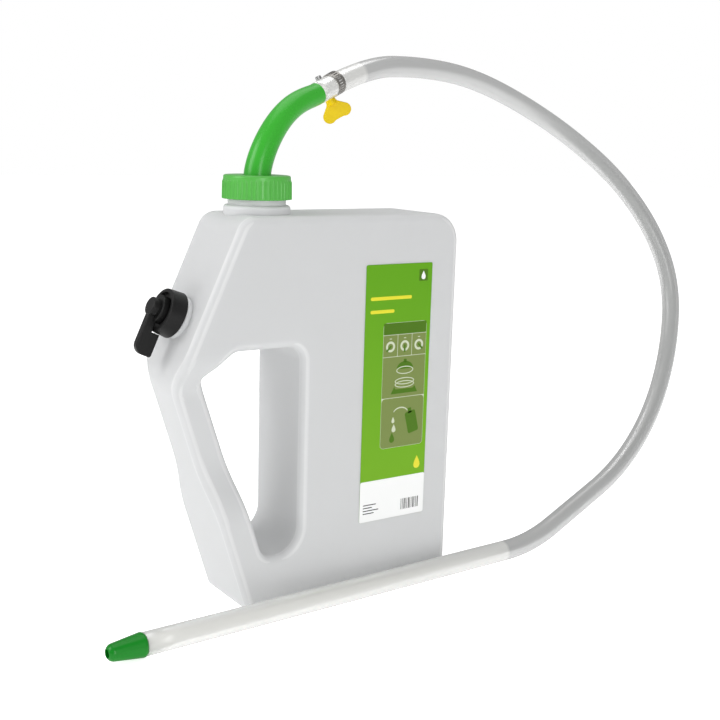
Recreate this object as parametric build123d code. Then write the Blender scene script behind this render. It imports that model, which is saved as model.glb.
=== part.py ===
from build123d import *
import math
import os

# Calf drench bottle: flat hollow bottle with a moulded grip, a screw cap with a bent spout,
# a stiff clear hose with a straight drench probe, a hose clamp and a three-way air valve.
# Millimetres. X runs from the grip to the front, Y is the thickness, Z is up.
# The origin is on the underside, straight below the centre of the neck.

# bottle
bottle_height = 333.8
bottle_thickness = 79.3
bottle_front = 184.3            # front side from the neck axis
foot_rear = -24.5               # rear lower corner from the neck axis
rear_kink = (-89.8, 205.6)      # where the sloping back meets the grip
shoulder_rear = -31.6           # rear end of the flat top
wall = 1.8
edge_round = 7.0
front_top_round = 25.0
front_foot_round = 10.0
rear_foot_round = 9.0
kink_round = 40.0
shoulder_round = 16.0

# hand opening behind the grip: lower rear, upper rear and front corners
opening_front = 23.5
opening_top = 226.0
opening_foot = 47.0
opening_foot_rear = -10.0
opening_nose = (-63.0, 207.0)
opening_top_rear = -38.0
opening_front_top_round = 12.0
opening_front_foot_round = 23.0
opening_rear_foot_round = 12.0
opening_nose_round = 5.0
opening_top_rear_round = 14.0

# slimmer waist of the grip
grip_thickness = 49.6
waist_foot = 78.0
waist_low = 140.0
waist_high = 188.0
waist_top = 226.0
waist_rear = -130.0
waist_front = -4.0

# neck and screw cap
neck_diameter = 48.0
neck_bore = 42.0
neck_collar_diameter = 55.6
neck_collar_height = 7.0
neck_collar_round = 2.6
neck_height = 24.3
thread_depth = 1.3
thread_pitch = 4.0
thread_turns = 1.5
cap_diameter = 57.0
cap_bore = 51.2
cap_gap_below = 4.8             # from the neck's collar up to the cap's rim
cap_top_thickness = 2.3
cap_bevel = 1.2
cap_plain_band = 6.5
cap_rib_count = 36
cap_rib_depth = 0.7
running_gap = 0.1
gasket_thickness = 2.0
flange_thickness = 2.4
flange_diameter = 49.0

# bent spout
spout_base_diameter = 22.6
spout_end_diameter = 18.5
spout_wall = 2.2
spout_hole_gap = 0.4
spout_rise = 20.0               # how far it goes straight up out of the cap
spout_lead = 20.0               # how far it already follows the hose's direction
spout_knee = (28.7, 65.5)       # the bend's control point: outwards and above the flange
socket_depth = 16.0

# hose, its route, and the probe
hose_diameter = 19.0
hose_bore = 13.0
insert_gap = 0.05
adapter_bore = 9.5
adapter_reach = 36.0
adapter_barb = 0.04
stiffener_length = 379.0
stiffener_bore = 9.8
tip_length = 31.4
tip_diameter = 20.7
tip_nose_diameter = 12.8
tip_bore = 7.4
tip_nose_round = 5.8
tip_rear_round = 2.4
tip_spigot_length = 18.0
tip_rest = tip_diameter / 2
hose_rest = hose_diameter / 2
hose_route = [
    (68, 18.5, 433),
    (126, 35, 459),
    (205, 58, 464),
    (283, 78, 459),
    (362, 91, 438),
    (441, 93, 404),
    (509, 84, 359),
    (554, 66, 302),
    (568, 44, 240),
    (546, 22, 171),
    (497, -1, 108),
    (429, -20, 60),
    (354, -32, 30),
    (284, -47, hose_rest),
    (-131, -66, tip_rest),
]

# hose clamp with a worm screw and a wing key
clamp_distance = 22.5           # from the spout's shoulder along the hose
clamp_turn = -20.0              # where its housing sits around the hose, degrees
band_width = 9.0
band_thickness = 0.7
band_gap = 0.05
band_slot_count = 26
band_slot_length = 5.4
band_slot_width = 1.1
worm_diameter = 5.4
worm_gap = 0.08
worm_thread_depth = 0.45
worm_thread_pitch = 2.0
housing_length = 12.0
housing_height = 7.2
worm_head_length = 4.0
worm_head_radius = 3.6
housing_skirt = 3.0             # how far the housing reaches down beside the band
worm_tip_reach = 6.5
key_hub_diameter = 9.0
key_hub_length = 9.0
key_thickness = 3.6
key_lobe_diameter = 11.6
key_lobe_spread = 7.4
key_lobe_drop = 17.3            # from the top of the hub
key_web_width = 9.6             # of the web between the lobes
key_flank_round = 5.0
key_edge_round = 0.9
key_rest_turn = -40.0           # where the lobes stand at rest

# air valve on the sloping back
valve_height = 250.8            # height of its axis on the sloping face
valve_neck_diameter = 29.0
valve_neck_bore = 23.0
valve_neck_height = 11.9
valve_boss_diameter = 35.0
valve_boss_height = 4.4
valve_boss_round = 2.0
collar_foot_diameter = 38.9
collar_front_diameter = 36.6
collar_bore = 32.6
collar_foot_gap = 0.7           # above the bottle's boss
collar_lip = 2.8
collar_mouth = 30.6
valve_gasket_thickness = 1.5
valve_seat_thickness = 2.6
valve_shaft_diameter = 7.0
valve_shaft_gap = 0.06
valve_port_diameter = 4.0
valve_port_radius = 7.5
lever_disc_diameter = 23.0
lever_disc_rise = 0.5           # running gap that the seal ring fills
lever_disc_thickness = 6.2
lever_boss_diameter = 15.2
lever_front = 28.8              # front of the boss above the sloping face
lever_blade_thickness = 6.0
lever_blade_length = 38.9
lever_blade_front = 28.2
lever_blade_back = 12.2
lever_collar_gap = 0.5
lever_corner_round = 8.0
air_groove_width = 4.0
air_groove_depth = 1.6
seal_ring_radius = 4.9
retainer_diameter = 13.0
retainer_thickness = 1.6
retainer_gap = 0.2

# label on the near broad face
label_left = 84.4
label_right = 154.6
label_foot = 62.6
label_top = 291.6
label_thickness = 0.25
label_corner = 1.5

half = bottle_thickness / 2
seat_top = valve_neck_height + valve_gasket_thickness + valve_seat_thickness
collar_foot = valve_boss_height + collar_foot_gap
collar_height = seat_top + running_gap + collar_lip
cap_rim = bottle_height + neck_collar_height + cap_gap_below
neck_top = bottle_height + neck_height
flange_foot = neck_top + gasket_thickness
flange_top = flange_foot + flange_thickness
cap_top = flange_top + running_gap + cap_top_thickness


def save(shape, name):
    shape.label = name
    export_step(shape, os.path.join("parts", name + ".step"))
    print(name, round(shape.volume), "mm3")


def unit(a, b):
    return (Vector(*b) - Vector(*a)).normalized()


def outline(corners):
    """Closed face in the XZ plane from (x, z, corner radius)."""
    points = [(x, z) for x, z, radius in corners]
    face = make_face(Polyline(*points, close=True))
    for x, z, radius in corners:
        corner = face.vertices().sort_by_distance((x, z, 0))[0]
        face = fillet(corner, radius)
    return face


def bottle_outline():
    return outline([
        (bottle_front, 0, front_foot_round),
        (bottle_front, bottle_height, front_top_round),
        (shoulder_rear, bottle_height, shoulder_round),
        (*rear_kink, kink_round),
        (foot_rear, 0, rear_foot_round),
    ])


def opening_outline():
    return outline([
        (opening_front, opening_foot, opening_front_foot_round),
        (opening_front, opening_top, opening_front_top_round),
        (opening_top_rear, opening_top, opening_top_rear_round),
        (*opening_nose, opening_nose_round),
        (opening_foot_rear, opening_foot, opening_rear_foot_round),
    ])


def slab(face, thickness):
    """A face of the XZ outline drawn out evenly to both sides of Y = 0."""
    upright = Plane.XZ.location * face
    return extrude(upright, amount=thickness / 2, both=True)


def waist_cutter(side, inset):
    """What the grip's waist takes off one broad side; inset deepens it by a wall."""
    flat = half + 20
    shallow = half
    deep = grip_thickness / 2
    reach_low = 0.45 * (waist_low - waist_foot)
    reach_high = 0.45 * (waist_top - waist_high)
    lower = Bezier((shallow, waist_foot), (shallow, waist_foot + reach_low),
                   (deep, waist_low - reach_low), (deep, waist_low))
    middle = Line((deep, waist_low), (deep, waist_high))
    upper = Bezier((deep, waist_high), (deep, waist_high + reach_high),
                   (shallow, waist_top - reach_high), (shallow, waist_top))
    back = Polyline((shallow, waist_top), (flat, waist_top), (flat, waist_foot), (shallow, waist_foot))
    face = make_face(lower + middle + upper + back)
    face = Plane.YZ.offset(waist_rear).location * face
    cutter = extrude(face, amount=waist_front - waist_rear, dir=(1, 0, 0))
    cutter = cutter.moved(Location((0, -inset, 0)))
    return cutter if side > 0 else mirror(cutter, about=Plane.XZ)


def rounded(solid, radius):
    """Round the rims of the broad faces; lines along Y are only seams of the outline."""
    rims = [e for e in solid.edges() if not is_seam(e)]
    return fillet(rims, radius)


def is_seam(edge):
    start = edge.position_at(0)
    end = edge.position_at(1)
    along_y = abs(start.X - end.X) < 0.01 and abs(start.Z - end.Z) < 0.01
    flat_line = abs(start.Z - end.Z) < 0.01 and abs(start.Y - end.Y) < 0.01
    tangent_line = flat_line and (abs(start.Z - waist_foot) < 0.5 or abs(start.Z - waist_top) < 0.5)
    waist_seam = flat_line and (abs(start.Z - waist_low) < 0.5 or abs(start.Z - waist_high) < 0.5)
    return along_y or tangent_line or waist_seam


def bottle_form(inset):
    """The bottle's outer form, or, with a wall as inset, the space inside it."""
    outer = bottle_outline()
    hole = opening_outline()
    if inset:
        outer = offset(outer, -inset)
        hole = offset(hole, inset)
    form = slab(outer, bottle_thickness - 2 * inset) - slab(hole, bottle_thickness + 20)
    form -= waist_cutter(1, inset)
    form -= waist_cutter(-1, inset)
    return rounded(form, edge_round - inset)


def tube(outer, inner, low, high):
    """Round tube about Z between two heights."""
    ring = Circle(outer / 2) - Circle(inner / 2) if inner else Circle(outer / 2)
    return extrude(Plane.XY.offset(low).location * ring, amount=high - low)


def thread(diameter, height, turns):
    """One raised screw thread about Z, its root sunk a little into the neck."""
    root = diameter / 2 - 0.3
    crest = diameter / 2 + thread_depth
    path = Helix(thread_pitch, thread_pitch * turns, root)
    start = Plane(origin=path @ 0, x_dir=(1, 0, 0), z_dir=path % 0)
    depth = crest - root
    face = start.location * make_face(Polyline(
        (0, -1.2), (depth, -0.4), (depth, 0.4), (0, 1.2), close=True))
    ridge = sweep(face, path=path, is_frenet=True)
    return ridge.moved(Location((0, 0, height)))


def bottle():
    form = bottle_form(0)
    collar = tube(neck_collar_diameter, 0, bottle_height - wall, bottle_height + neck_collar_height)
    collar = fillet(collar.edges().filter_by(GeomType.CIRCLE).sort_by(Axis.Z)[-1], neck_collar_round)
    neck = tube(neck_diameter, 0, bottle_height - wall, neck_top)
    neck = fillet(neck.edges().filter_by(GeomType.CIRCLE).sort_by(Axis.Z)[-1], 0.8)
    valve_boss = tube(valve_boss_diameter, 0, -wall, valve_boss_height)
    valve_boss = fillet(valve_boss.edges().filter_by(GeomType.CIRCLE).sort_by(Axis.Z)[-1], valve_boss_round)
    valve_boss += tube(valve_neck_diameter, 0, -wall, valve_neck_height)
    form = form + collar + neck + valve_plane.location * valve_boss
    inner = bottle_form(wall)
    inner += tube(neck_bore, 0, bottle_height - 2 * wall, neck_top + 1)
    inner += valve_plane.location * tube(valve_neck_bore, 0, -2 * wall, valve_neck_height + 1)
    shell = form - inner
    thread_start = neck_top - 3.5 - thread_pitch * thread_turns
    shell += thread(neck_diameter, thread_start, thread_turns)
    return shell


def cap_nut():
    body = tube(cap_diameter, 0, cap_rim, cap_top)
    body = chamfer(body.edges().filter_by(GeomType.CIRCLE).sort_by(Axis.Z)[-1], cap_bevel)
    rib_top = cap_top - cap_plain_band
    groove_width = math.pi * cap_diameter / cap_rib_count / 2
    groove = Box(2 * cap_rib_depth, groove_width, rib_top - cap_rim,
                 align=(Align.CENTER, Align.CENTER, Align.MIN))
    grooves = PolarLocations(cap_diameter / 2, cap_rib_count) * groove
    body -= [g.moved(Location((0, 0, cap_rim))) for g in grooves]
    body -= tube(cap_bore, 0, cap_rim - 1, flange_top + running_gap)
    spout_hole = spout_base_diameter + 2 * spout_hole_gap
    body -= tube(spout_hole, 0, cap_rim, cap_top + 1)
    return body


def cap_gasket():
    return tube(neck_diameter - 0.6, neck_bore - 1, neck_top, flange_foot)


def spout_path():
    """Middle line of the spout: upright at the flange, then over into the hose's direction."""
    base = Vector(0, 0, flange_top)
    level = Vector(hose_start.X, hose_start.Y, 0).normalized()
    knee = base + level * spout_knee[0] + Vector(0, 0, spout_knee[1])
    return Bezier(base, base + Vector(0, 0, spout_rise), knee, hose_start - hose_aim * spout_lead,
                  hose_start)


def spout_form(path, base_radius, end_radius):
    """Loft of circles square to the spout's middle line, thinning evenly to its end."""
    steps = 9
    rings = []
    for i in range(steps + 1):
        share = i / steps
        radius = base_radius + (end_radius - base_radius) * share
        rings.append(Plane(origin=path @ share, z_dir=path % share).location * Circle(radius))
    return loft(rings)


def spout_elbow():
    path = spout_path()
    bore_end = (hose_bore - 2 * insert_gap) / 2
    pipe = spout_form(path, spout_base_diameter / 2, spout_end_diameter / 2)
    pipe += tube(spout_base_diameter, 0, flange_foot, flange_top)
    pipe += tube(flange_diameter, 0, flange_foot, flange_top)
    pipe -= spout_form(path, spout_base_diameter / 2 - spout_wall, bore_end - 0.4)
    pipe -= tube(spout_base_diameter - 2 * spout_wall, 0, flange_foot - 1, flange_top)
    socket = hose_plane.location * tube(hose_bore, 0, -socket_depth, 1)
    return pipe - socket


def hose_adapter():
    outer = hose_bore - 2 * insert_gap
    pipe = tube(outer, 0, -socket_depth + running_gap, adapter_reach)
    for place in (0.35, 0.6, 0.85):
        barb = Cone(outer / 2 + adapter_barb, outer / 2 - 0.3, 3)
        pipe += barb.moved(Location((0, 0, adapter_reach * place)))
    pipe -= tube(adapter_bore, 0, -socket_depth - 1, adapter_reach + 1)
    return hose_plane.location * pipe


def hose_path():
    """Straight runs joined by tangent arcs, each as large as its two runs allow."""
    radii = []
    for before, here, after in zip(hose_route, hose_route[1:], hose_route[2:]):
        turn = unit(before, here).get_angle(unit(here, after))
        run = min((Vector(*here) - Vector(*before)).length, (Vector(*after) - Vector(*here)).length)
        radii.append(0.45 * run / math.tan(math.radians(turn / 2)))
    print("hose bend radii", [round(r) for r in radii])
    return FilletPolyline(*hose_route, radius=radii)


def feeding_hose():
    path = hose_path()
    ring = hose_plane.location * (Circle(hose_diameter / 2) - Circle(hose_bore / 2))
    hose = sweep(ring, path=path)
    section = math.pi / 4 * (hose_diameter ** 2 - hose_bore ** 2)
    length = path.length
    print("hose length", round(length, 1), "volume over section x length", hose.volume / section / length)
    return hose


def probe_stiffener():
    pipe = tube(hose_bore - 2 * insert_gap, stiffener_bore, -stiffener_length, -running_gap)
    return probe_plane.location * pipe


def probe_tip():
    """Blunt cone that covers the hose's end, with a spigot inside the stiffener."""
    rear = tip_diameter / 2
    nose = tip_nose_diameter / 2
    side = Polyline((0, 0), (rear, 0), (nose, tip_length), (0, tip_length), close=True)
    face = make_face(side)
    face = fillet(face.vertices().sort_by_distance((rear, 0, 0))[0], tip_rear_round)
    face = fillet(face.vertices().sort_by_distance((nose, tip_length, 0))[0], tip_nose_round)
    body = revolve(Plane.XZ.location * face, axis=Axis.Z)
    body += tube(stiffener_bore - 2 * insert_gap, 0, -tip_spigot_length, 1)
    body -= tube(tip_bore, 0, -tip_spigot_length - 1, tip_length + 1)
    return probe_plane.location * body


def clamp_band():
    inner = hose_diameter / 2 + band_gap
    outer = inner + band_thickness
    band = tube(2 * outer, 2 * inner, -band_width / 2, band_width / 2)
    slot = Box(4 * band_thickness, band_slot_width, band_slot_length)
    slots = PolarLocations(inner, band_slot_count) * slot
    band -= list(slots)
    return band_plane.location * band


def clamp_housing():
    foot = band_outer + band_gap
    box = Box(band_width + 1.6, housing_height, housing_length,
              align=(Align.CENTER, Align.MIN, Align.CENTER))
    box = fillet(box.edges().filter_by(Axis.Z).group_by(Axis.Y)[-1], 2.2)
    box = box.moved(Location((0, foot - housing_skirt, 0)))
    band_space = Plane.YZ.location * Circle(band_outer + band_gap)
    box -= extrude(band_space, amount=band_width, both=True)
    bore = tube(worm_diameter + 2 * worm_gap, 0, -housing_length, housing_length)
    box -= bore.moved(Location((0, worm_offset, 0)))
    return worm_plane.location * box


def clamp_screw():
    tip = housing_length / 2 + worm_tip_reach
    rod = tube(worm_diameter, 0, -housing_length / 2 - 1, tip)
    rod = chamfer(rod.edges().filter_by(GeomType.CIRCLE).sort_by(Axis.Z)[-1], 0.8)
    grooves = int(housing_length / worm_thread_pitch)
    for i in range(grooves):
        height = -housing_length / 2 + 1 + i * worm_thread_pitch
        groove = tube(worm_diameter + 1, worm_diameter - 2 * worm_thread_depth, height, height + 0.9)
        rod -= groove
    head_top = -housing_length / 2 - worm_gap
    head = extrude(Plane.XY.offset(head_top - worm_head_length).location * RegularPolygon(worm_head_radius, 6),
                   amount=worm_head_length)
    return worm_plane.location * (rod + head).moved(Location((0, worm_offset, 0)))


def key_leaf(top):
    """Flat wing of the key: two lobes joined by a web, narrowing to the hub."""
    root = Pos(0, top - key_hub_length / 2) * Rectangle(key_hub_diameter, key_hub_length)
    neck = Pos(0, top - key_hub_length) * Circle(key_hub_diameter / 2)
    face = root
    web = []
    for side in (-1, 1):
        place = Pos(side * key_lobe_spread, top - key_lobe_drop)
        lobe = place * Circle(key_lobe_diameter / 2)
        face += make_hull(neck.edges() + lobe.edges())
        web += (place * Circle(key_web_width / 2)).edges()
    face += make_hull(ShapeList(web))
    flanks = [v for v in face.vertices() if abs(abs(v.X) - key_hub_diameter / 2) < 0.4 and v.Y < top - 3]
    if flanks:
        face = fillet(flanks, key_flank_round)
    leaf = extrude(Plane.XZ.location * face, amount=key_thickness / 2, both=True)
    rims = [e for e in leaf.edges() if abs(abs(e.position_at(0.5).Y) - key_thickness / 2) < 0.01]
    return fillet(rims, key_edge_round).rotate(Axis.Z, key_rest_turn)


def clamp_wing_key():
    """Moulded two-lobed key pressed over the screw's hexagon head."""
    top = -housing_length / 2 - worm_gap
    hub = tube(key_hub_diameter, 0, top - key_hub_length, top - running_gap)
    key = hub + key_leaf(top)
    pocket = Plane.XY.offset(top - worm_head_length - running_gap).location * RegularPolygon(
        worm_head_radius + insert_gap, 6)
    key -= extrude(pocket, amount=worm_head_length + 1)
    return worm_plane.location * key.moved(Location((0, worm_offset, 0)))


def vent_gasket():
    foot = valve_neck_height
    return valve_plane.location * tube(
        valve_neck_diameter, valve_neck_bore, foot, foot + valve_gasket_thickness)


def vent_seat():
    """Fixed disc under the collar, with the shaft's bearing and the air port."""
    foot = valve_neck_height + valve_gasket_thickness
    disc = tube(collar_bore - 2 * running_gap, 0, foot, seat_top)
    spigot_height = foot - 1.5
    disc += tube(valve_neck_bore - 2 * running_gap, 0, spigot_height, foot)
    disc -= tube(valve_shaft_diameter + 2 * valve_shaft_gap, 0, spigot_height - 1, seat_top + 1)
    port = tube(valve_port_diameter, 0, spigot_height - 1, seat_top + 1)
    disc -= port.moved(Location((valve_port_radius, 0, 0)))
    return valve_plane.location * disc


def vent_collar():
    """Union nut that holds the seat on the bottle's valve neck."""
    length = collar_height - collar_foot
    body = Cone(collar_foot_diameter / 2, collar_front_diameter / 2, length,
                align=(Align.CENTER, Align.CENTER, Align.MIN))
    body = fillet(body.edges().filter_by(GeomType.CIRCLE), 0.8)
    body = body.moved(Location((0, 0, collar_foot)))
    body -= tube(collar_bore, 0, collar_foot - 1, seat_top + running_gap)
    body -= tube(collar_mouth, 0, 0, collar_height + 1)
    return valve_plane.location * body


def vent_seal_ring():
    """Rubber ring round the shaft, in a groove under the lever's disc."""
    ring = Torus(seal_ring_radius, 0.7)
    return valve_plane.location * ring.moved(Location((0, 0, seat_top + 0.7)))


def vent_lever():
    """Turning plug: shaft, disc with its air groove, boss and blade, in one moulding."""
    disc_foot = seat_top + lever_disc_rise
    disc_top = disc_foot + lever_disc_thickness
    shaft_end = valve_neck_height - 4.5
    body = tube(lever_disc_diameter, 0, disc_foot, disc_top)
    body = fillet(body.edges().filter_by(GeomType.CIRCLE).sort_by(Axis.Z)[-1], 0.8)
    boss = tube(lever_boss_diameter, 0, disc_foot, lever_front)
    body += fillet(boss.edges().filter_by(GeomType.CIRCLE).sort_by(Axis.Z)[-1], 1.2)
    body += tube(valve_shaft_diameter, 0, shaft_end, disc_foot + 1)
    clear_rim = collar_height + lever_collar_gap
    slope_share = (lever_blade_back - collar_foot) / (collar_height - collar_foot)
    rim_there = collar_foot_diameter + (collar_front_diameter - collar_foot_diameter) * slope_share
    clear_side = rim_there / 2 + lever_collar_gap
    blade = make_face(Polyline(
        (0, clear_rim), (clear_side, clear_rim), (clear_side, lever_blade_back),
        (lever_blade_length, lever_blade_back), (lever_blade_length, lever_blade_front),
        (0, lever_blade_front), close=True))
    front_corner = blade.vertices().sort_by_distance((lever_blade_length, lever_blade_front, 0))[0]
    blade = fillet(front_corner, lever_corner_round)
    back_corner = blade.vertices().sort_by_distance((lever_blade_length, lever_blade_back, 0))[0]
    blade = fillet(back_corner, 2)
    blade = extrude(Plane.XZ.location * blade, amount=lever_blade_thickness / 2, both=True)
    sides = [e for e in blade.edges() if e.center().X > lever_boss_diameter / 2
             and abs(abs(e.position_at(0.5).Y) - lever_blade_thickness / 2) < 0.01]
    body += fillet(sides, 1.0)
    ring_space = tube(2 * seal_ring_radius + 1.6, 2 * seal_ring_radius - 1.6, seat_top, seat_top + 1.5)
    body -= ring_space
    groove = Box(lever_disc_diameter, air_groove_width, air_groove_depth,
                 align=(Align.MIN, Align.CENTER, Align.MIN))
    body -= groove.moved(Location((valve_port_radius - 1, 0, disc_foot)))
    snap = tube(valve_shaft_diameter + 2, valve_shaft_diameter - 1.2, retainer_foot - retainer_gap / 2,
                retainer_foot + retainer_thickness + retainer_gap / 2)
    body -= snap
    return valve_plane.location * body


def vent_retainer():
    """Split ring snapped into the shaft's groove under the seat."""
    ring = tube(retainer_diameter, valve_shaft_diameter - 1.2 + 2 * insert_gap, retainer_foot,
                retainer_foot + retainer_thickness)
    ring -= Box(retainer_diameter, 3, 40, align=(Align.MIN, Align.CENTER, Align.CENTER))
    return valve_plane.location * ring


def front_label():
    width = label_right - label_left
    height = label_top - label_foot
    sheet = RectangleRounded(width, height, label_corner)
    sheet = Pos((label_left + label_right) / 2, (label_foot + label_top) / 2) * sheet
    face = Plane.XZ.offset(half).location * sheet
    return extrude(face, amount=label_thickness)


# places that follow from the values above
back_slope = (Vector(shoulder_rear, 0, bottle_height) - Vector(rear_kink[0], 0, rear_kink[1])).normalized()
valve_share = (valve_height - rear_kink[1]) / (bottle_height - rear_kink[1])
valve_origin = Vector(
    rear_kink[0] + (shoulder_rear - rear_kink[0]) * valve_share, 0, valve_height)
valve_plane = Plane(origin=valve_origin, x_dir=-back_slope, z_dir=(-back_slope.Z, 0, back_slope.X))
retainer_foot = valve_neck_height + valve_gasket_thickness - 1.5 - retainer_thickness - retainer_gap

hose_start = Vector(*hose_route[0])
hose_aim = unit(hose_route[0], hose_route[1])
hose_side = Vector(0, 0, 1).cross(hose_aim).normalized()
hose_plane = Plane(origin=hose_start, x_dir=hose_side, z_dir=hose_aim)
probe_aim = unit(hose_route[-2], hose_route[-1])
probe_plane = Plane(origin=Vector(*hose_route[-1]), x_dir=Vector(0, 0, 1).cross(probe_aim), z_dir=probe_aim)

clamp_out = hose_side.rotate(Axis((0, 0, 0), hose_aim), clamp_turn)
clamp_centre = hose_start + hose_aim * clamp_distance
band_plane = Plane(origin=clamp_centre, x_dir=clamp_out, z_dir=hose_aim)
worm_plane = Plane(origin=clamp_centre, x_dir=hose_aim, z_dir=hose_aim.cross(clamp_out))
band_outer = hose_diameter / 2 + band_gap + band_thickness
worm_offset = band_outer + band_gap + worm_diameter / 2 + worm_gap

os.makedirs("parts", exist_ok=True)
print("valve axis", tuple(valve_plane.z_dir), "from", tuple(valve_origin))
print("worm axis", tuple(worm_plane.z_dir), "through", tuple(clamp_centre + clamp_out * worm_offset))

for make in (bottle, front_label, cap_nut, cap_gasket, spout_elbow, hose_adapter, feeding_hose,
             probe_stiffener, probe_tip, clamp_band, clamp_housing, clamp_screw, clamp_wing_key,
             vent_gasket, vent_seat, vent_collar, vent_seal_ring, vent_lever, vent_retainer):
    save(make(), make.__name__)
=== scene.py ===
import math
import bpy
import numpy as np
from mathutils import Matrix, Vector


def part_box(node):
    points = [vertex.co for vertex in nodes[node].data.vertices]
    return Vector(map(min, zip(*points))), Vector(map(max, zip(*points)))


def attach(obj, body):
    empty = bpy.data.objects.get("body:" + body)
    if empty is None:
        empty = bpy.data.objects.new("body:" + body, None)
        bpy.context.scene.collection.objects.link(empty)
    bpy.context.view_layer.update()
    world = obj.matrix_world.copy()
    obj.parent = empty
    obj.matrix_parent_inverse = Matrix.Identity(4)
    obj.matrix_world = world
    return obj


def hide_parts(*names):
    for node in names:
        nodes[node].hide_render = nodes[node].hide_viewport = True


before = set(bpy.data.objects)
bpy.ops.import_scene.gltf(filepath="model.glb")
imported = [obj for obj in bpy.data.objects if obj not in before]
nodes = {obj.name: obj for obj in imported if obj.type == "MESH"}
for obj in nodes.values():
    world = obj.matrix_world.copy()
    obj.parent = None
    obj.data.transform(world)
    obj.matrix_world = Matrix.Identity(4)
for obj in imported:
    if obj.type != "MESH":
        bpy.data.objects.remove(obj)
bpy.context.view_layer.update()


def unitVector(v):
    # divided by its own length
    v = np.asarray(v, float)
    return v / np.linalg.norm(v)


def lengthsAlong(path):
    # distance from the first point to each point, summed step by step
    return np.r_[0, np.cumsum(np.linalg.norm(np.diff(path, axis=0), axis=1))]


def meshPiece(name, points, faces, material, smooth=True):
    mesh = bpy.data.meshes.new(name)
    mesh.from_pydata(np.asarray(points, float).reshape(-1, 3).tolist(), [], faces)
    mesh.update()
    if smooth:
        mesh.shade_smooth()
    mesh.materials.append(material)
    piece = bpy.data.objects.new(name, mesh)
    bpy.context.scene.collection.objects.link(piece)
    return piece


def gridFaces(rows, columns):
    # quads between neighbouring rows and columns of a grid that closes on itself both ways
    row, column = np.meshgrid(np.arange(rows), np.arange(columns), indexing="ij")
    row, column = row.ravel(), column.ravel()
    nextRow, nextColumn = (row + 1) % rows, (column + 1) % columns
    corners = [row * columns + column, row * columns + nextColumn,
               nextRow * columns + nextColumn, nextRow * columns + column]
    return np.stack(corners, 1).tolist()


def turnedPiece(name, profile, material, steps, wave):
    # profile of (radius, height) turned about the neck's axis; wave is added to the radius by angle
    angle = np.linspace(0, 2 * np.pi, steps, endpoint=False)
    radius = profile[:, :1] + wave(profile, angle)
    height = np.repeat(profile[:, 1:], steps, 1)
    points = np.stack([radius * np.cos(angle), radius * np.sin(angle), height], -1)
    return meshPiece(name, points, gridFaces(len(profile), steps), material)


def frameChain(path):
    # two side vectors at each point, square to the path and carried along it without twist
    along = np.gradient(path, axis=0)
    along /= np.linalg.norm(along, axis=1)[:, None]
    side = np.cross(along[0], [0, 0, 1.0])
    sides = []
    for direction in along:
        side = side - direction * np.dot(side, direction)
        side /= np.linalg.norm(side)
        sides.append(side)
    sides = np.array(sides)
    return sides, np.cross(along, sides)


def hollowPipe(name, path, outer, inner, material, steps):
    # circles of the outer radius along the path, then of the inner radius back along it, joined at the ends
    sides, ups = frameChain(path)
    angle = np.linspace(0, 2 * np.pi, steps, endpoint=False)
    ring = np.cos(angle)[None, :, None] * sides[:, None, :] + np.sin(angle)[None, :, None] * ups[:, None, :]
    shell = path[:, None, :] + outer * ring
    core = path[:, None, :] + inner * ring
    points = np.concatenate([shell, core[::-1]])
    faces = [face[::-1] for face in gridFaces(len(points), steps)]
    return meshPiece(name, points, faces, material)


def newMaterial(name):
    material = bpy.data.materials.new(name)
    material.use_nodes = True
    tree = material.node_tree
    return material, tree, tree.nodes["Principled BSDF"]


def addNode(tree, kind, **values):
    # each value goes to the socket of that name, or else to the node's own setting
    node = tree.nodes.new(kind)
    for key, value in values.items():
        if key in node.inputs:
            node.inputs[key].default_value = value
        else:
            setattr(node, key, value)
    return node


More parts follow.
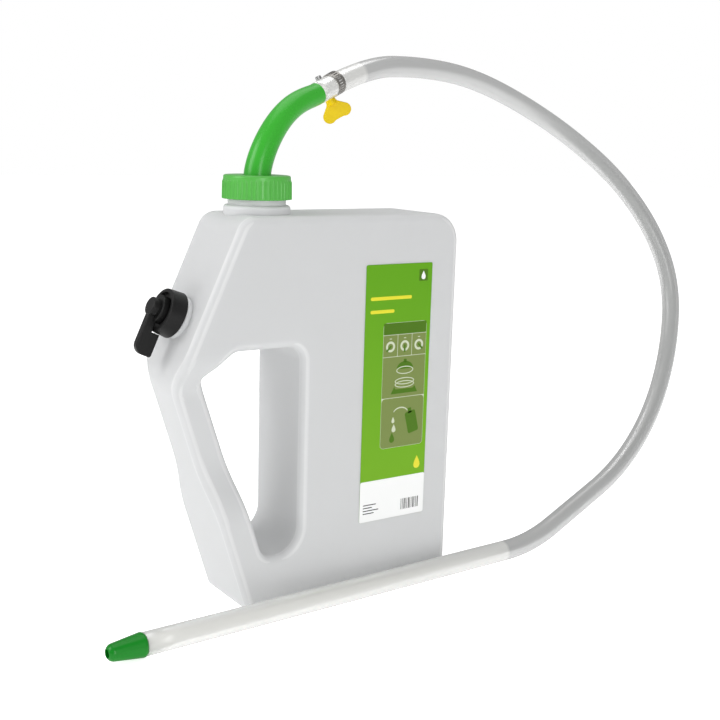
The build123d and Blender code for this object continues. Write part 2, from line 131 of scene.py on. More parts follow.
def finishGroup():
    # moulded surface: soft mottling of the colour, rubbed roughness and fine grain as height
    group = bpy.data.node_groups.new("mouldedFinish", "ShaderNodeTree")
    face = group.interface
    for socket, kind, value in (("Colour", "NodeSocketColor", (1, 1, 1, 1)),
                                ("Darker", "NodeSocketFloat", 0.06),
                                ("Patch Scale", "NodeSocketFloat", 18.0),
                                ("Roughness", "NodeSocketFloat", 0.4),
                                ("Rubbed", "NodeSocketFloat", 0.08),
                                ("Grain Scale", "NodeSocketFloat", 900.0)):
        face.new_socket(name=socket, in_out="INPUT", socket_type=kind).default_value = value
    for socket, kind in (("Colour", "NodeSocketColor"), ("Roughness", "NodeSocketFloat"),
                         ("Height", "NodeSocketFloat")):
        face.new_socket(name=socket, in_out="OUTPUT", socket_type=kind)
    start = group.nodes.new("NodeGroupInput")
    end = group.nodes.new("NodeGroupOutput")
    where = group.nodes.new("ShaderNodeTexCoord")
    patches = addNode(group, "ShaderNodeTexNoise", Detail=4.0, Roughness=0.55)
    grain = addNode(group, "ShaderNodeTexNoise", Detail=2.0)
    darker = addNode(group, "ShaderNodeMath", operation="MULTIPLY")
    shade = addNode(group, "ShaderNodeMix", data_type="RGBA", blend_type="MULTIPLY")
    grey = addNode(group, "ShaderNodeCombineColor")
    keep = addNode(group, "ShaderNodeMath", operation="SUBTRACT")
    keep.inputs[0].default_value = 1.0
    rub = addNode(group, "ShaderNodeMath", operation="MULTIPLY")
    rough = addNode(group, "ShaderNodeMath", operation="ADD")
    link = group.links.new
    link(where.outputs["Object"], patches.inputs["Vector"])
    link(where.outputs["Object"], grain.inputs["Vector"])
    link(start.outputs["Patch Scale"], patches.inputs["Scale"])
    link(start.outputs["Grain Scale"], grain.inputs["Scale"])
    link(patches.outputs["Fac"], darker.inputs[0])
    link(start.outputs["Darker"], darker.inputs[1])
    link(darker.outputs[0], keep.inputs[1])
    for channel in ("Red", "Green", "Blue"):
        link(keep.outputs[0], grey.inputs[channel])
    shade.inputs["Factor"].default_value = 1.0
    link(start.outputs["Colour"], shade.inputs["A"])
    link(grey.outputs[0], shade.inputs["B"])
    link(patches.outputs["Fac"], rub.inputs[0])
    link(start.outputs["Rubbed"], rub.inputs[1])
    link(rub.outputs[0], rough.inputs[0])
    link(start.outputs["Roughness"], rough.inputs[1])
    link(shade.outputs["Result"], end.inputs["Colour"])
    link(rough.outputs[0], end.inputs["Roughness"])
    link(grain.outputs["Fac"], end.inputs["Height"])
    return group


mouldedFinish = finishGroup()
grainHeight = 0.0004  # metres


def mouldedMaterial(name, colour, roughness, darker=0.06, rubbed=0.08, patchScale=18.0, grainScale=900.0,
                    grainDepth=0.05, **shaderValues):
    material, tree, shader = newMaterial(name)
    finish = tree.nodes.new("ShaderNodeGroup")
    finish.node_tree = mouldedFinish
    for socket, value in (("Colour", (*colour, 1)), ("Darker", darker), ("Patch Scale", patchScale),
                          ("Roughness", roughness), ("Rubbed", rubbed), ("Grain Scale", grainScale)):
        finish.inputs[socket].default_value = value
    bump = addNode(tree, "ShaderNodeBump", Strength=grainDepth, Distance=grainHeight)
    tree.links.new(finish.outputs["Colour"], shader.inputs["Base Color"])
    tree.links.new(finish.outputs["Roughness"], shader.inputs["Roughness"])
    tree.links.new(finish.outputs["Height"], bump.inputs["Height"])
    tree.links.new(bump.outputs["Normal"], shader.inputs["Normal"])
    for socket, value in shaderValues.items():
        shader.inputs[socket.replace("_", " ")].default_value = value
    return material


def groupIn(material):
    # the one node group that a moulded material holds
    return next(node for node in material.node_tree.nodes if node.type == "GROUP")


def paint(nodeName, material):
    piece = nodes[nodeName]
    if not piece.material_slots:
        piece.data.materials.append(material)
    for slot in piece.material_slots:
        slot.material = material


studio = {
    "floorHalf": 8.0, "floorTone": (0.93, 0.97), "cloudScale": 3.0, "floorRoughness": 0.8,
    # light given to the bottle, then brightness to the eye
    "floorGlow": (0.32, 0.75), "airGlow": (0.44, 1.0),
    # name, place, target, size across and up, power
    "lamps": [
        ("leftTallBox", (-1.3, 0.3, 1.10), (0.0, 0, 0.25), (0.8, 1.0), 11),
        ("frontTallBox", (-0.3, -1.7, 0.60), (0.05, 0, 0.25), (0.5, 1.3), 10),
        ("overheadBox", (0.2, 0.2, 1.6), (0.1, 0, 0.1), (1.2, 1.2), 6),
    ],
}
view = {"place": (-0.4634, -0.8336, 0.4012), "yaw": 34.41, "pitch": 11.22, "roll": 1.70, "lens": 57.25,
        "nearest": 0.01}


def addCamera():
    # looks along yaw to the right of +Y and pitch below the horizon, then rolls about its own line
    yaw, pitch, roll = (math.radians(view[key]) for key in ("yaw", "pitch", "roll"))
    forward = np.array([math.sin(yaw) * math.cos(pitch), math.cos(yaw) * math.cos(pitch), -math.sin(pitch)])
    right = np.array([math.cos(yaw), -math.sin(yaw), 0.0])
    up = np.cross(right, forward)
    rolledRight = math.cos(roll) * right + math.sin(roll) * up
    rolledUp = -math.sin(roll) * right + math.cos(roll) * up
    camera = bpy.data.objects.new("viewCamera", bpy.data.cameras.new("viewCamera"))
    camera.data.lens = view["lens"]
    camera.data.clip_start = view["nearest"]
    turn = Matrix((rolledRight, rolledUp, -forward)).transposed().to_4x4()
    camera.matrix_world = Matrix.Translation(view["place"]) @ turn
    bpy.context.scene.collection.objects.link(camera)
    bpy.context.scene.camera = camera


def addSoftLight(name, place, target, size, power):
    lamp = bpy.data.lights.new(name, "AREA")
    lamp.shape = "RECTANGLE"
    lamp.size, lamp.size_y = size
    lamp.energy = power
    lampObject = bpy.data.objects.new(name, lamp)
    lampObject.location = place
    lampObject.rotation_euler = (Vector(target) - Vector(place)).to_track_quat("-Z", "Y").to_euler()
    lampObject.visible_transmission = False  # no bright patches through the hose
    bpy.context.scene.collection.objects.link(lampObject)


def cameraLevel(tree, lit, seen):
    # a strength of lit for the light on the bottle, and of seen where the backdrop itself is looked at
    path = addNode(tree, "ShaderNodeLightPath")
    level = addNode(tree, "ShaderNodeMapRange")
    level.inputs["To Min"].default_value = lit
    level.inputs["To Max"].default_value = seen
    tree.links.new(path.outputs["Is Camera Ray"], level.inputs["Value"])
    return level.outputs[0]


def addFloor():
    material, tree, shader = newMaterial("studioFloor")
    where = tree.nodes.new("ShaderNodeTexCoord")
    cloud = addNode(tree, "ShaderNodeTexNoise", Scale=studio["cloudScale"])
    tone = addNode(tree, "ShaderNodeMapRange")
    tone.inputs["To Min"].default_value, tone.inputs["To Max"].default_value = studio["floorTone"]
    tree.links.new(where.outputs["Object"], cloud.inputs["Vector"])
    tree.links.new(cloud.outputs["Fac"], tone.inputs["Value"])
    tree.links.new(tone.outputs[0], shader.inputs["Base Color"])
    shader.inputs["Roughness"].default_value = studio["floorRoughness"]
    shader.inputs["Emission Color"].default_value = (1, 1, 1, 1)
    tree.links.new(cameraLevel(tree, *studio["floorGlow"]), shader.inputs["Emission Strength"])
    half = studio["floorHalf"]
    corners = [(-half, -half, 0), (half, -half, 0), (half, half, 0), (-half, half, 0)]
    meshPiece("studioFloorSheet", corners, [(0, 1, 2, 3)], material)


def addAir():
    world = bpy.data.worlds.new("studioAir")
    world.use_nodes = True
    tree = world.node_tree
    air = tree.nodes["Background"]
    air.inputs["Color"].default_value = (1, 1, 1, 1)
    tree.links.new(cameraLevel(tree, *studio["airGlow"]), air.inputs["Strength"])
    bpy.context.scene.world = world


addCamera()
addFloor()
addAir()
for lamp in studio["lamps"]:
    addSoftLight(*lamp)
bpy.context.scene.view_settings.view_transform = "Standard"
print("camera and studio done")

hoseRoute = [
    (0.068, 0.0185, 0.433), (0.126, 0.035, 0.459), (0.205, 0.058, 0.464), (0.283, 0.078, 0.459),
    (0.362, 0.091, 0.438), (0.441, 0.093, 0.404), (0.509, 0.084, 0.359), (0.554, 0.066, 0.302),
    (0.568, 0.044, 0.240), (0.546, 0.022, 0.171), (0.499, -0.001, 0.106), (0.432, -0.020, 0.0575),
    (0.354, -0.032, 0.030), (0.284, -0.047, 0.0095), (0.218, -0.0500, 0.0096), (-0.131, -0.066, 0.01035),
]
# paintedSleeveTint is painted light: the hose's colour where a white sleeve lies behind its wall
hoseData = {"diameter": 0.019, "bore": 0.013, "length": 1.431, "ringSteps": 64, "curveSteps": 24,
            "tint": (0.46, 0.465, 0.46), "paintedSleeveTint": (0.74, 0.74, 0.715), "clear": 0.35, "bending": 1.5,
            "roughness": (0.20, 0.30), "hazeScale": 30.0}
# white sleeves inside the hose: how much of it each lines, its own bore, and the adapter's stub in the socket
sleeveData = {"adapterReach": 0.056, "adapterBore": 0.0095, "stubStart": 0.0155, "stubEnd": 0.001,
              "stubRings": 5, "stiffenerReach": 0.379, "stiffenerBore": 0.0098, "pressIn": 0.0001,
              "ringSteps": 40}


def splinePoints(route, resolution):
    # the smooth line that a quadratic NURBS spline makes of the route
    curve = bpy.data.curves.new("hoseLine", "CURVE")
    curve.dimensions = "3D"
    spline = curve.splines.new("NURBS")
    spline.points.add(len(route) - 1)
    spline.points.foreach_set("co", np.c_[np.array(route), np.ones(len(route))].ravel())
    spline.order_u = 3
    spline.use_endpoint_u = True
    spline.resolution_u = resolution
    holder = bpy.data.objects.new("hoseLine", curve)
    bpy.context.scene.collection.objects.link(holder)
    line = bpy.data.meshes.new_from_object(holder)
    points = np.zeros(len(line.vertices) * 3)
    line.vertices.foreach_get("co", points)
    bpy.data.objects.remove(holder)
    bpy.data.meshes.remove(line)
    return points.reshape(-1, 3)


def clearHoseMaterial():
    # paler where a white sleeve lies behind the wall: the sleeve shows through the clear part of the wall,
    # and the base colour there is painted paler as well, as painted light from the sleeve
    material, tree, shader = newMaterial("clearHose")
    where = tree.nodes.new("ShaderNodeTexCoord")
    haze = addNode(tree, "ShaderNodeTexNoise", Scale=hoseData["hazeScale"], Detail=3.0)
    ramp = addNode(tree, "ShaderNodeMapRange")
    ramp.inputs["To Min"].default_value, ramp.inputs["To Max"].default_value = hoseData["roughness"]
    tree.links.new(where.outputs["Object"], haze.inputs["Vector"])
    tree.links.new(haze.outputs["Fac"], ramp.inputs["Value"])
    tree.links.new(ramp.outputs[0], shader.inputs["Roughness"])
    lined = addNode(tree, "ShaderNodeAttribute", attribute_name="lined")
    shade = addNode(tree, "ShaderNodeMix", data_type="RGBA")
    shade.inputs["A"].default_value = (*hoseData["tint"], 1)
    shade.inputs["B"].default_value = (*hoseData["paintedSleeveTint"], 1)
    tree.links.new(lined.outputs["Fac"], shade.inputs["Factor"])
    tree.links.new(shade.outputs["Result"], shader.inputs["Base Color"])
    shader.inputs["Transmission Weight"].default_value = hoseData["clear"]
    shader.inputs["IOR"].default_value = hoseData["bending"]
    return material


def addHose(path):
    steps = hoseData["ringSteps"]
    hose = hollowPipe("feedingHose", path, hoseData["diameter"] / 2, hoseData["bore"] / 2,
                      clearHoseMaterial(), steps)
    along = lengthsAlong(path)
    # stretches over a sleeve, where the hose's colour is painted paler
    rings = (along < sleeveData["adapterReach"]) | (along > along[-1] - sleeveData["stiffenerReach"])
    lined = np.repeat(np.r_[rings, rings[::-1]].astype(np.float32), steps)
    hose.data.attributes.new("lined", "FLOAT", "POINT").data.foreach_set("value", lined)
    hose.visible_shadow = False  # light reaches the white sleeves inside it
    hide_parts("feeding_hose")
    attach(hose, "head")
    return hose


def addSleeve(name, path, bore, node):
    # pressed a hair into the hose's wall, so that no film of air shows between them
    outer = hoseData["bore"] / 2 + sleeveData["pressIn"]
    sleeve = hollowPipe(name, path, outer, bore / 2, adapterWhite, sleeveData["ringSteps"])
    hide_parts(node)
    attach(sleeve, "head")
    return sleeve


def addStiffener(path):
    # lines the hose's last stretch up to its end
    left = lengthsAlong(path[::-1])[::-1]
    return addSleeve("probeStiffener", path[left < sleeveData["stiffenerReach"]],
                     sleeveData["stiffenerBore"], "probe_stiffener")


def addAdapter(path):
    # lines the hose's first stretch, and its straight stub stands inside the spout's socket
    back = np.linspace(sleeveData["stubStart"], sleeveData["stubEnd"], sleeveData["stubRings"])
    stub = path[0] - unitVector(path[1] - path[0]) * back[:, None]
    middle = np.concatenate([stub, path[lengthsAlong(path) < sleeveData["adapterReach"]]])
    addSleeve("hoseAdapter", middle, sleeveData["adapterBore"], "hose_adapter")


adapterWhite = mouldedMaterial("adapterWhite", (0.84, 0.84, 0.82), 0.45, darker=0.04)
tipGreen = mouldedMaterial("tipGreen", (0.001, 0.23, 0.010), 0.26, darker=0.10, rubbed=0.05, grainDepth=0.02,
                           Specular_IOR_Level=0.3)
hosePath = splinePoints(hoseRoute, hoseData["curveSteps"])
hose = addHose(hosePath)
stiffener = addStiffener(hosePath)
addAdapter(hosePath)
paint("probe_tip", tipGreen)
print("hose done,", len(hosePath), "points,", lengthsAlong(hosePath)[-1], "m")

# paintedGlow is painted light: a faint emission over the whole bottle
bottleData = {"colour": (0.625, 0.633, 0.640), "roughness": 0.40, "paintedGlow": 0.04,
              "seep": 0.85, "seepDepth": 0.006,  # light that soaks into the milky wall
              # painted highlights: two light lines run along each rounded rim, where the lamps' glints would
              # fall
              "paintedRimHighlights": (0.22, 0.93), "rimHighlightWidth": 0.07, "rimHighlightSharpness": 4.0, "rimHighlightStrength": 0.20,
              # only on sides that face along X, out from the neck and the valve's boss, below the flat top
              "sideways": 0.10, "rimReach": 0.0178, "rimTop": 0.3338}


def paintedRimHighlightGroup():
    # painted highlight lines on the bottle's rounded rims, standing in for the lamps' glints on the rounding
    # how far the surface leans to the broad faces, less each line's place, over the width:
    # a line is one over one plus a high power of that
    group = bpy.data.node_groups.new("paintedRimHighlights", "ShaderNodeTree")
    face = group.interface
    for socket, kind, value in (("Colour", "NodeSocketColor", (1, 1, 1, 1)),
                                ("Light", "NodeSocketFloat", 0.1), ("Width", "NodeSocketFloat", 0.05)):
        face.new_socket(name=socket, in_out="INPUT", socket_type=kind).default_value = value
    face.new_socket(name="Colour", in_out="OUTPUT", socket_type="NodeSocketColor")
    start = group.nodes.new("NodeGroupInput")
    end = group.nodes.new("NodeGroupOutput")
    where = group.nodes.new("ShaderNodeTexCoord")
    lean = group.nodes.new("ShaderNodeSeparateXYZ")
    spot = group.nodes.new("ShaderNodeSeparateXYZ")
    link = group.links.new
    link(where.outputs["Normal"], lean.inputs[0])
    link(where.outputs["Object"], spot.inputs[0])

    def calculate(operation, *values):
        node = addNode(group, "ShaderNodeMath", operation=operation)
        for socket, value in zip(node.inputs, values):
            if isinstance(value, (int, float)):
                socket.default_value = value
            else:
                link(value, socket)
        return node.outputs[0]

    tilt = calculate("ABSOLUTE", lean.outputs["Y"])

    def bell(place):
        away = calculate("SUBTRACT", tilt, place)
        share = calculate("ABSOLUTE", calculate("DIVIDE", away, start.outputs["Width"]))
        steep = calculate("POWER", share, bottleData["rimHighlightSharpness"])
        return calculate("DIVIDE", 1.0, calculate("ADD", steep, 1.0))

    both = calculate("ADD", *(bell(place) for place in bottleData["paintedRimHighlights"]))
    aside = calculate("GREATER_THAN", calculate("ABSOLUTE", lean.outputs["X"]), bottleData["sideways"])
    outward = calculate("GREATER_THAN", calculate("ABSOLUTE", spot.outputs["Y"]), bottleData["rimReach"])
    below = calculate("LESS_THAN", spot.outputs["Z"], bottleData["rimTop"])
    rim = calculate("MULTIPLY", calculate("MULTIPLY", aside, outward), below)
    paintedHighlight = calculate("MULTIPLY", calculate("MULTIPLY", both, rim), start.outputs["Light"])
    # painted highlight: the colour is mixed towards white along the lines
    lighten = addNode(group, "ShaderNodeMix", data_type="RGBA")
    lighten.inputs["B"].default_value = (1, 1, 1, 1)
    link(paintedHighlight, lighten.inputs["Factor"])
    link(start.outputs["Colour"], lighten.inputs["A"])
    link(lighten.outputs["Result"], end.inputs["Colour"])
    return group


def bottleMaterial():
    # milky plastic: light seeps through the wall, so corners stay pale; a faint painted glow, an emission
    # though the bottle is no lamp, brightens it all over
    material = mouldedMaterial("bottlePlastic", bottleData["colour"], bottleData["roughness"],
                               darker=0.05, rubbed=0.06, patchScale=7.0, grainScale=420.0, grainDepth=0.06,
                               Subsurface_Weight=bottleData["seep"], Subsurface_Scale=bottleData["seepDepth"],
                               Subsurface_Radius=(1, 1, 1),
                               Emission_Color=(1, 1, 0.98, 1), Emission_Strength=bottleData["paintedGlow"])
    tree = material.node_tree
    finish = groupIn(material)
    # painted highlight lines along the rims lighten the base colour
    rimHighlights = tree.nodes.new("ShaderNodeGroup")
    rimHighlights.node_tree = paintedRimHighlightGroup()
    rimHighlights.inputs["Light"].default_value = bottleData["rimHighlightStrength"]
    rimHighlights.inputs["Width"].default_value = bottleData["rimHighlightWidth"]
    tree.links.new(finish.outputs["Colour"], rimHighlights.inputs["Colour"])
    tree.links.new(rimHighlights.outputs["Colour"], tree.nodes["Principled BSDF"].inputs["Base Color"])
    return material


paint("bottle", bottleMaterial())
print("bottle done")

labelData = {"film": 0.00004,  # thickness of one print
             "sunk": 0.00001,  # how far a print reaches back into the label
             "gap": 0.00025,   # half a light line between two fields
             "greenBetween": (0.10, 0.28),  # heights between which the green changes
             # white foot and picture panel, as shares of the label's width and height
             "footTop": 0.1625, "footCorner": 0.0015,
             "panelAcross": (0.285, 0.94), "panelUp": (0.285, 0.775), "panelCorner": 0.0035,
             "panelRows": (0.0105, 0.0300, 0.0670),  # down from the panel's top
             "headCorner": 0.0008, "fieldCorner": 0.0005, "lowCorner": 0.0032}
# radii, then for upright pieces: half width, lower end, upper end, corner
dialData = {"turns": (45, 0, -45), "down": 0.0006, "ring": (0.0048, 0.0028),
            "pointer": (0.0009, -0.0058, 0.0012, 0.0008), "mark": (0.0012, 0.0066, 0.0073, 0.0003)}
capPicture = {"right": 0.001, "down": 0.0115, "up": 0.0035,
              "dome": (0.0088, 0.0068), "knob": (0.0016, 0.0062, 0.0088, 0.0007),
              "ringDown": 0.0012, "ring": (0.0092, 0.0036), "ringHole": (0.0084, 0.0028),
              "shoulders": (0.0145, 0.0112, 0.0060), "neck": (0.0105, 0.0040, 0.0110, 0.0020),
              "neckRings": (0.0110, 0.0082), "neckRing": (0.0105, 0.0032), "neckRingHole": (0.0096, 0.0024)}
pourPicture = {"left": 0.0125, "down": 0.001, "turn": -14, "bottle": (0.0058, -0.0100, 0.0100, 0.0018),
               "neck": (0.0020, 0.0085, 0.0132, 0.0006), "hoseAt": (-0.0125, 0.0085),
               "hose": (0.0085, 0.0062, 20, 160),
               "hoseHole": (0.0078, 0.0052, 14, 166), "hoseHoleDown": 0.0001,
               "drops": ((-0.0205, 0.0035, 0.0046), (-0.0195, -0.0040, 0.0060), (-0.0212, -0.0125, 0.0076))}
# places and widths as shares of the label; a bar's width and what every third has more
plainPrint = {"rules": ((0.865, 0.62), (0.815, 0.36)), "ruleLeft": 0.075, "ruleHeight": 0.0030,
              "ruleCorner": 0.0014,
              "squareAt": (0.135, 0.047), "square": (0.0047, -0.0052, 0.0052, 0.0008), "squareDrop": 0.0062,
              "dropAt": (0.13, 0.212), "drop": 0.0098,
              "bars": 12, "barsLeft": 0.36, "barStep": 0.00165, "bar": (0.0006, 0.0005),
              "barUp": (0.0058, 0.0158), "barCorner": 0.0001,
              "notes": (0.20, 0.14, 0.24, 0.17), "noteLeft": 0.0035, "noteTop": 0.0150,
              "noteStep": 0.0026, "noteHeight": 0.0009, "noteCorner": 0.0004}
labelLow, labelHigh = (np.array(corner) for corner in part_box("front_label"))
labelLeft, labelFace, labelFoot = labelLow
labelRight, labelTop = labelHigh[0], labelHigh[2]
labelWidth = labelRight - labelLeft
labelHeight = labelTop - labelFoot


def gradientMaterial(name, low, high, bottom, top, roughness):
    # colour runs from low to high with height, over the moulded finish
    material = mouldedMaterial(name, low, roughness, darker=0.05, grainDepth=0.02, Specular_IOR_Level=0.25)
    tree = material.node_tree
    where = tree.nodes.new("ShaderNodeTexCoord")
    split = tree.nodes.new("ShaderNodeSeparateXYZ")
    share = addNode(tree, "ShaderNodeMapRange")
    share.inputs["From Min"].default_value = bottom
    share.inputs["From Max"].default_value = top
    blend = addNode(tree, "ShaderNodeMix", data_type="RGBA")
    blend.inputs["A"].default_value = (*low, 1)
    blend.inputs["B"].default_value = (*high, 1)
    tree.links.new(where.outputs["Object"], split.inputs[0])
    tree.links.new(split.outputs["Z"], share.inputs["Value"])
    tree.links.new(share.outputs[0], blend.inputs["Factor"])
    tree.links.new(blend.outputs["Result"], groupIn(material).inputs["Colour"])
    return material


def roundedOutline(x0, x1, z0, z1, corner, steps=6):
    # corners as quarter circles, going round anticlockwise seen from the front
    turn = np.linspace(0, np.pi / 2, steps)
    centres = ((x1 - corner, z1 - corner), (x0 + corner, z1 - corner), (x0 + corner, z0 + corner),
               (x1 - corner, z0 + corner))
    arcs = []
    for k, (cx, cz) in enumerate(centres):
        angle = turn + k * np.pi / 2
        arcs.append(np.stack([cx + corner * np.cos(angle), cz + corner * np.sin(angle)], 1))
    return np.concatenate(arcs)


def uprightOutline(cx, cz, halfWidth, low, high, corner, steps=6):
    # rounded outline about the line through cx, from low to high beside cz
    return roundedOutline(cx - halfWidth, cx + halfWidth, cz + low, cz + high, corner, steps)


def ovalOutline(cx, cz, rx, rz, start=0.0, stop=360.0, steps=36):
    # ellipse, or the part of it between two angles
    angle = np.radians(np.linspace(start, stop, steps, endpoint=stop - start < 360))
    return np.stack([cx + rx * np.cos(angle), cz + rz * np.sin(angle)], 1)


def turnedOutline(points, centre, degrees):
    # outline turned about a centre, clockwise seen from the front
    a = math.radians(-degrees)
    spin = np.array([[math.cos(a), math.sin(a)], [-math.sin(a), math.cos(a)]])
    return (points - centre) @ spin + centre


dropShape = {"points": 32, "width": 0.5, "height": 0.62, "taper": 1.5}


def dropOutline(cx, cz, size):
    # round below, drawn to a point above: the width is the sine of the angle times a power of the
    # half angle's sine, and the height is the cosine
    angle = np.linspace(0, 2 * np.pi, dropShape["points"], endpoint=False)
    width = size * dropShape["width"] * np.sin(angle) * np.sin(angle / 2) ** dropShape["taper"]
    return np.stack([cx + width, cz + size * dropShape["height"] * np.cos(angle)], 1)[::-1]


def inlay(name, outline, layer, material, hole=None):
    # flat print on the label's face: its outline in front and behind, joined by sides; layer counts outwards
    front = labelFace - layer * labelData["film"]
    back = labelFace + labelData["sunk"]
    count = len(outline)
    if hole is None:
        loops = [(outline, front), (outline, back)]
        index = np.arange(count)
        after = (index + 1) % count
        sides = np.stack([index, index + count, after + count, after], 1)
        faces = [list(range(count)), list(range(2 * count - 1, count - 1, -1))] + sides.tolist()
    else:
        loops = [(outline, front), (outline, back), (hole, back), (hole, front)]
        faces = [face[::-1] for face in gridFaces(len(loops), count)]
    points = np.concatenate([np.c_[loop[:, 0], np.full(count, y), loop[:, 1]] for loop, y in loops])
    piece = meshPiece(name, points, faces, material, smooth=False)
    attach(piece, "bottle_body")


def addDials(x0, x1, low, high):
    # three fields in a row, each with a ring, a turned pointer and a mark
    line = labelData["gap"]
    count = len(dialData["turns"])
    cell = (x1 - x0) / count
    for i, turn in enumerate(dialData["turns"]):
        cx, cz = x0 + (i + 0.5) * cell, (high + low) / 2 - dialData["down"]
        field = roundedOutline(x0 + i * cell + line * (i > 0), x0 + (i + 1) * cell - line * (i < count - 1),
                               low + line, high - line, labelData["fieldCorner"])
        outer, inner = dialData["ring"]
        pointer = uprightOutline(cx, cz, *dialData["pointer"], steps=4)
        inlay(f"labelCell{i + 1}", field, 2, labelOlive)
        inlay(f"labelDial{i + 1}", ovalOutline(cx, cz, outer, outer), 3, labelLines,
              hole=ovalOutline(cx, cz, inner, inner))
        inlay(f"labelPointer{i + 1}", turnedOutline(pointer, (cx, cz), turn), 4, labelDark)
        inlay(f"labelMark{i + 1}", uprightOutline(cx, cz, *dialData["mark"]), 3, labelLines)


def addCapPicture(cx, cz, base):
    # cap lifted off a neck: dome, knob, its ring, the shoulders, the neck and its two rings
    data = capPicture
    inlay("labelDome", ovalOutline(cx, cz, *data["dome"], 0, 180), 3, labelDark)
    inlay("labelDomeKnob", uprightOutline(cx, cz, *data["knob"]), 3, labelDark)
    inlay("labelDomeRing", ovalOutline(cx, cz - data["ringDown"], *data["ring"]), 4, labelLines,
          hole=ovalOutline(cx, cz - data["ringDown"], *data["ringHole"]))
    wide, narrow, height = data["shoulders"]
    shoulders = np.array([(cx + wide, base), (cx + narrow, base + height), (cx - narrow, base + height),
                          (cx - wide, base)])
    inlay("labelShoulders", shoulders, 3, labelDark)
    inlay("labelNeck", uprightOutline(cx, base, *data["neck"]), 4, labelOlive)
    for i, height in enumerate(data["neckRings"]):
        inlay(f"labelNeckRing{i + 1}", ovalOutline(cx, base + height, *data["neckRing"]), 5 + i, labelLines,
              hole=ovalOutline(cx, base + height, *data["neckRingHole"]))


def addPourPicture(cx, cz):
    # bottle tipped to pour, its hose and three drops
    data = pourPicture
    for name, key in (("labelTippedBottle", "bottle"), ("labelTippedNeck", "neck")):
        inlay(name, turnedOutline(uprightOutline(cx, cz, *data[key]), (cx, cz), data["turn"]), 3, labelDark)
    bendX, bendZ = cx + data["hoseAt"][0], cz + data["hoseAt"][1]
    inlay("labelBentHose", ovalOutline(bendX, bendZ, *data["hose"]), 3, labelLines)
    inlay("labelBentHoseInside", ovalOutline(bendX, bendZ - data["hoseHoleDown"], *data["hoseHole"]), 4,
          labelOlive)
    for i, (dx, dz, size) in enumerate(data["drops"]):
        inlay(f"labelDrop{i + 1}", dropOutline(cx + dx, cz + dz, size), 3, labelLines if i < 2 else labelDark)


def addPanel():
    # picture panel: its light backing shows as lines between the olive fields
    x0, x1 = (labelLeft + labelWidth * share for share in labelData["panelAcross"])
    z0, z1 = (labelFoot + labelHeight * share for share in labelData["panelUp"])
    headFoot, dialFoot, middleFoot = (z1 - down for down in labelData["panelRows"])
    line = labelData["gap"]
    backing = roundedOutline(x0 - line, x1 + line, z0 - line, z1 + line, labelData["panelCorner"])
    head = roundedOutline(x0, x1, headFoot + line, z1, labelData["headCorner"])
    middle = roundedOutline(x0, x1, middleFoot + line, dialFoot - line, labelData["fieldCorner"])
    bottom = roundedOutline(x0, x1, z0, middleFoot - line, labelData["lowCorner"])
    inlay("labelPanelLines", backing, 1, labelLines)
    inlay("labelPanelHead", head, 2, labelDark)
    addDials(x0, x1, dialFoot, headFoot)
    inlay("labelMiddleField", middle, 2, labelOlive)
    inlay("labelLowField", bottom, 2, labelOlive)
    addCapPicture((x0 + x1) / 2 + capPicture["right"], dialFoot - capPicture["down"],
                  middleFoot + capPicture["up"])
    addPourPicture(x1 - pourPicture["left"], (middleFoot + z0) / 2 - pourPicture["down"])


def addPlainPrint():
    # rules above the panel, a square with a drop, a drop below, and bars and short rules on the white foot
    data = plainPrint
    for i, (share, width) in enumerate(data["rules"]):
        x, z = labelLeft + labelWidth * data["ruleLeft"], labelFoot + labelHeight * share
        rule = roundedOutline(x, x + labelWidth * width, z, z + data["ruleHeight"], data["ruleCorner"])
        inlay(f"labelRule{i + 1}", rule, 1, labelYellow)
    cx, cz = labelRight - labelWidth * data["squareAt"][0], labelTop - labelHeight * data["squareAt"][1]
    inlay("labelSquare", uprightOutline(cx, cz, *data["square"]), 1, labelDark)
    inlay("labelSquareDrop", dropOutline(cx, cz, data["squareDrop"]), 2, labelWhite)
    cx, cz = labelRight - labelWidth * data["dropAt"][0], labelFoot + labelHeight * data["dropAt"][1]
    inlay("labelYellowDrop", dropOutline(cx, cz, data["drop"]), 1, labelYellow)
    low, high = (labelFoot + up for up in data["barUp"])
    thin, extra = data["bar"]
    for i in range(data["bars"]):
        x = labelRight - labelWidth * data["barsLeft"] + i * data["barStep"]
        bar = roundedOutline(x, x + thin + extra * (i % 3 == 2), low, high, data["barCorner"], steps=2)
        inlay(f"labelBar{i + 1}", bar, 2, labelGrey)
    for i, width in enumerate(data["notes"]):
        x, z = labelLeft + data["noteLeft"], labelFoot + data["noteTop"] - i * data["noteStep"]
        note = roundedOutline(x, x + labelWidth * width, z, z + data["noteHeight"], data["noteCorner"],
                              steps=3)
        inlay(f"labelNote{i + 1}", note, 2, labelGrey)


def printColour(name, colour, roughness=0.36, **values):
    return mouldedMaterial(name, colour, roughness, grainDepth=0.02, **values)


labelGreen = gradientMaterial("labelGreen", (0.175, 0.43, 0.008), (0.120, 0.37, 0.004),
                              *labelData["greenBetween"], 0.34)
labelOlive = printColour("labelOlive", (0.200, 0.262, 0.070), darker=0.04, Specular_IOR_Level=0.25)
labelDark = printColour("labelDark", (0.070, 0.180, 0.003), darker=0.05, Specular_IOR_Level=0.25)
labelLines = printColour("labelLines", (0.62, 0.68, 0.50), darker=0.03)
labelWhite = printColour("labelWhite", (0.93, 0.935, 0.93), darker=0.02)
labelYellow = printColour("labelYellow", (0.80, 0.74, 0.02), darker=0.03)
labelGrey = printColour("labelGrey", (0.03, 0.03, 0.03), 0.4, darker=0.04)
paint("front_label", labelGreen)
whiteTop = labelFoot + labelHeight * labelData["footTop"]
inlay("labelWhiteFoot",
      roundedOutline(labelLeft, labelRight, labelFoot, whiteTop, labelData["footCorner"]), 1, labelWhite)
addPanel()
addPlainPrint()
print("label done")

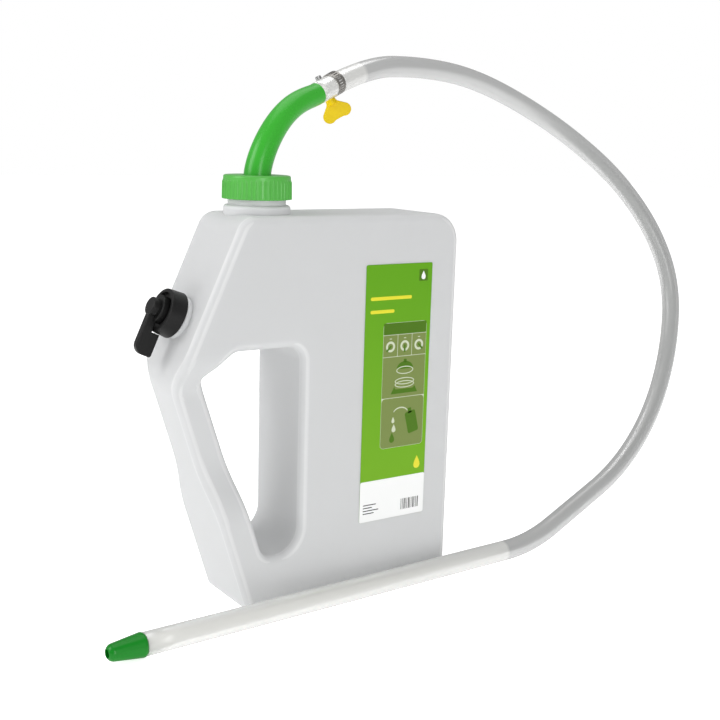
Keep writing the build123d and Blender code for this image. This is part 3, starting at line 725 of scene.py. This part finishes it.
capData = {"ribs": 46, "ribWidth": 0.13, "ribDepth": 0.0008, "plainBand": 0.0038, "ribFade": 0.0012,
           "stepsPerRib": 12, "sideRows": 15, "roundRows": 7,
           "draft": 0.0003, "topRound": 0.0018, "topWall": 0.0023, "skirtWall": 0.0022,
           "footEdge": 0.0004, "holeRadius": 0.0118, "holeEdge": 0.0005, "flatRadius": 0.0160,
           "outerSide": 0.0008}  # past the skirt's inside, where ribs may start


def addCap():
    # revolved skirt and top; each rib is a bell curve of the angle, faded out at the plain band
    low, high = (np.array(corner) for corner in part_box("cap_nut"))
    outer = (high[0] - low[0]) / 2 - capData["ribDepth"] * 0.5
    foot, top = low[2], high[2]
    upper = outer - capData["draft"]
    inside = outer - capData["skirtWall"]
    ceiling = top - capData["topWall"]
    edge, corner = capData["footEdge"], capData["topRound"]
    hole, holeEdge = capData["holeRadius"], capData["holeEdge"]
    turn = np.linspace(0, np.pi / 2, capData["roundRows"])
    share = np.linspace(0, 1, capData["sideRows"])[:, None]
    side = share * [upper - outer, top - corner - foot] + [outer, foot]
    shoulder = np.stack([upper - corner + corner * np.cos(turn), top - corner + corner * np.sin(turn)], 1)
    profile = np.concatenate([
        [(inside, foot + edge), (inside + edge, foot), (outer - edge, foot)], side, shoulder[1:],
        [(capData["flatRadius"], top), (hole + holeEdge, top), (hole, top - holeEdge), (hole, ceiling),
         (inside, ceiling)]])

    def ribs(points, angle):
        away = (angle * capData["ribs"] / (2 * np.pi)) % 1.0 - 0.5
        bell = np.exp(-(away / capData["ribWidth"]) ** 2)
        fade = np.clip((top - capData["plainBand"] - points[:, 1]) / capData["ribFade"], 0, 1)
        skirt = (points[:, 0] > inside + capData["outerSide"]) & (points[:, 1] < top - corner)
        return np.outer(fade * skirt, bell) * capData["ribDepth"]

    cap = turnedPiece("screwCap", profile, capGreen, capData["ribs"] * capData["stepsPerRib"], ribs)
    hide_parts("cap_nut")
    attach(cap, "cap")


capGreen = mouldedMaterial("capGreen", (0.088, 0.46, 0.060), 0.29, darker=0.12, patchScale=60.0,
                           Specular_IOR_Level=0.5)
spoutGreen = mouldedMaterial("spoutGreen", (0.038, 0.42, 0.026), 0.24, darker=0.08, grainDepth=0.03,
                             Specular_IOR_Level=0.4)
sealRubber = mouldedMaterial("sealRubber", (0.03, 0.03, 0.03), 0.6)
addCap()
paint("spout_elbow", spoutGreen)
paint("cap_gasket", sealRubber)
print("cap and spout done")

clampSteel = mouldedMaterial("clampSteel", (0.36, 0.345, 0.325), 0.28, darker=0.25, patchScale=220.0,
                             Metallic=1.0)
screwSteel = mouldedMaterial("screwSteel", (0.40, 0.40, 0.40), 0.30, darker=0.20, patchScale=200.0,
                             Metallic=1.0)
keyYellow = mouldedMaterial("keyYellow", (0.82, 0.58, 0.0), 0.36, darker=0.06, Specular_IOR_Level=0.2)
valveBlack = mouldedMaterial("valveBlack", (0.007, 0.007, 0.007), 0.38, darker=0.25, patchScale=70.0,
                             grainDepth=0.10, Specular_IOR_Level=0.25)
for name, material in (("clamp_band", clampSteel), ("clamp_housing", clampSteel), ("clamp_screw", screwSteel),
                       ("clamp_wing_key", keyYellow), ("vent_gasket", sealRubber), ("vent_seat", valveBlack),
                       ("vent_collar", valveBlack), ("vent_seal_ring", sealRubber),
                       ("vent_lever", valveBlack), ("vent_retainer", valveBlack)):
    paint(name, material)
print("clamp and air valve done")
